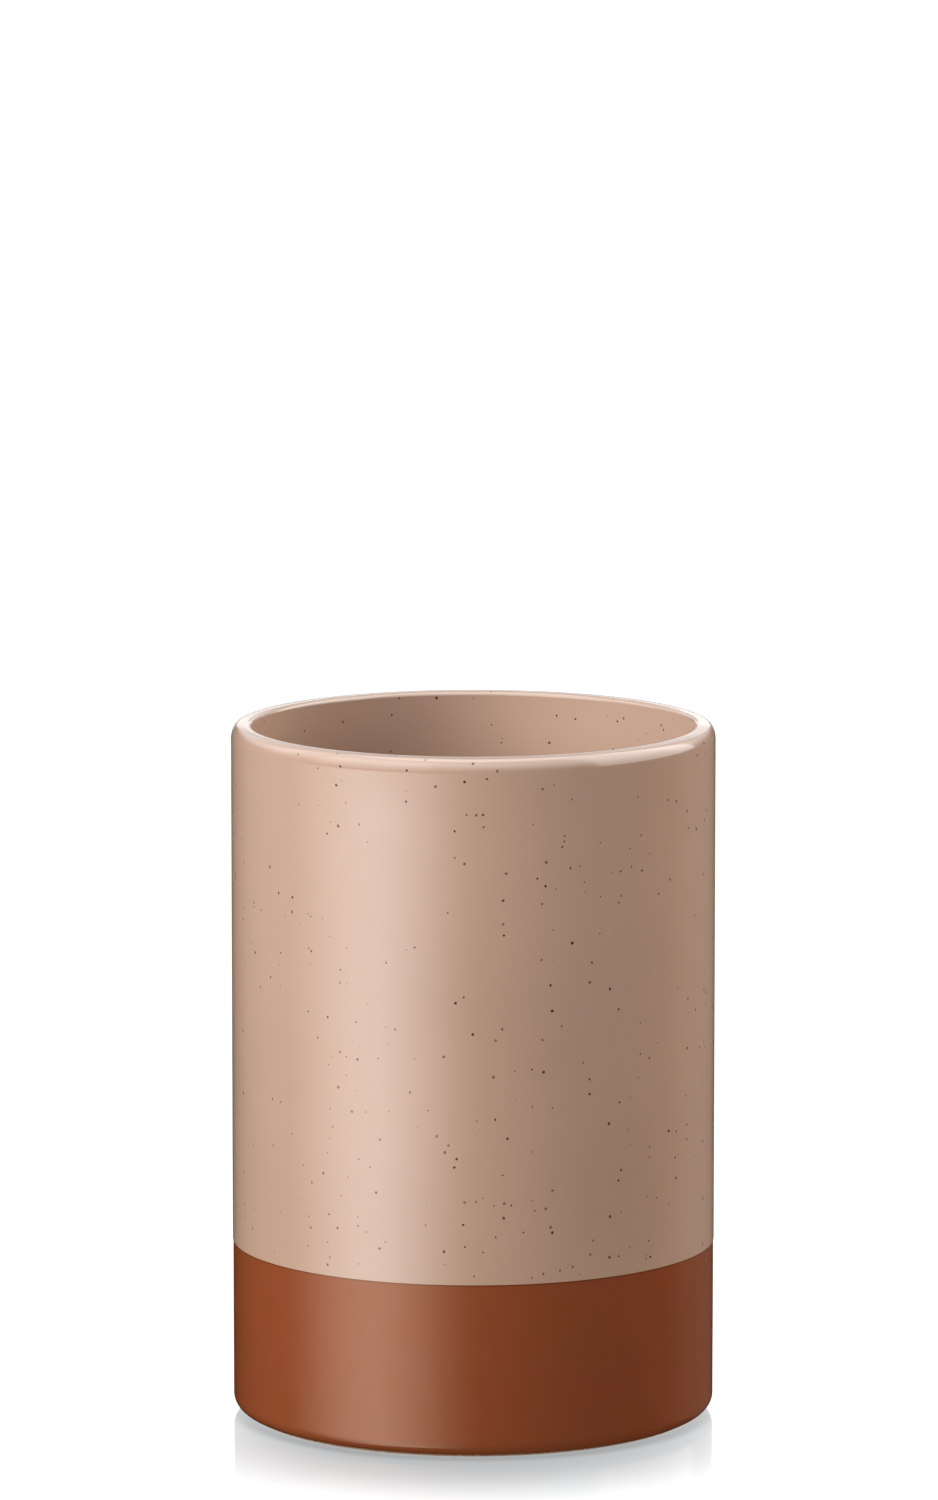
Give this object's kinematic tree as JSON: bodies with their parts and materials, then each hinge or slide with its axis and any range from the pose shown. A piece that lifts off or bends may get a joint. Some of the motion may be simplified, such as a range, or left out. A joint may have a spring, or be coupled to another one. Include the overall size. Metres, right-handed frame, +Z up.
{
  "type": "utensil crock",
  "caption": "Tall round stoneware crock with an open mouth, cream speckled glaze inside and out and a terracotta band round its base, for holding kitchen utensils.",
  "frame": {"origin": "centre of the foot, on the surface the crock stands on", "axes": "+Z up out of the mouth along the crock's axis; it is round, so X and Y are alike, and -Y faces the picture's camera"},
  "size_m": [0.127, 0.127, 0.183],
  "materials": {
    "bare_stoneware": "bare fired clay with a fine grain, matt",
    "speckled_glaze": "warm cream glaze with small dark iron specks, satin to gloss",
    "terracotta_coat": "brown-red terracotta coat, satin"
  },
  "bodies": {
    "root": {"stoneware_body": "bare_stoneware", "speckled_outer_glaze": "speckled_glaze", "speckled_liner_glaze": "speckled_glaze", "terracotta_base_coat": "terracotta_coat", "foot_recess_coat": "terracotta_coat"}
  },
  "joints": []
}
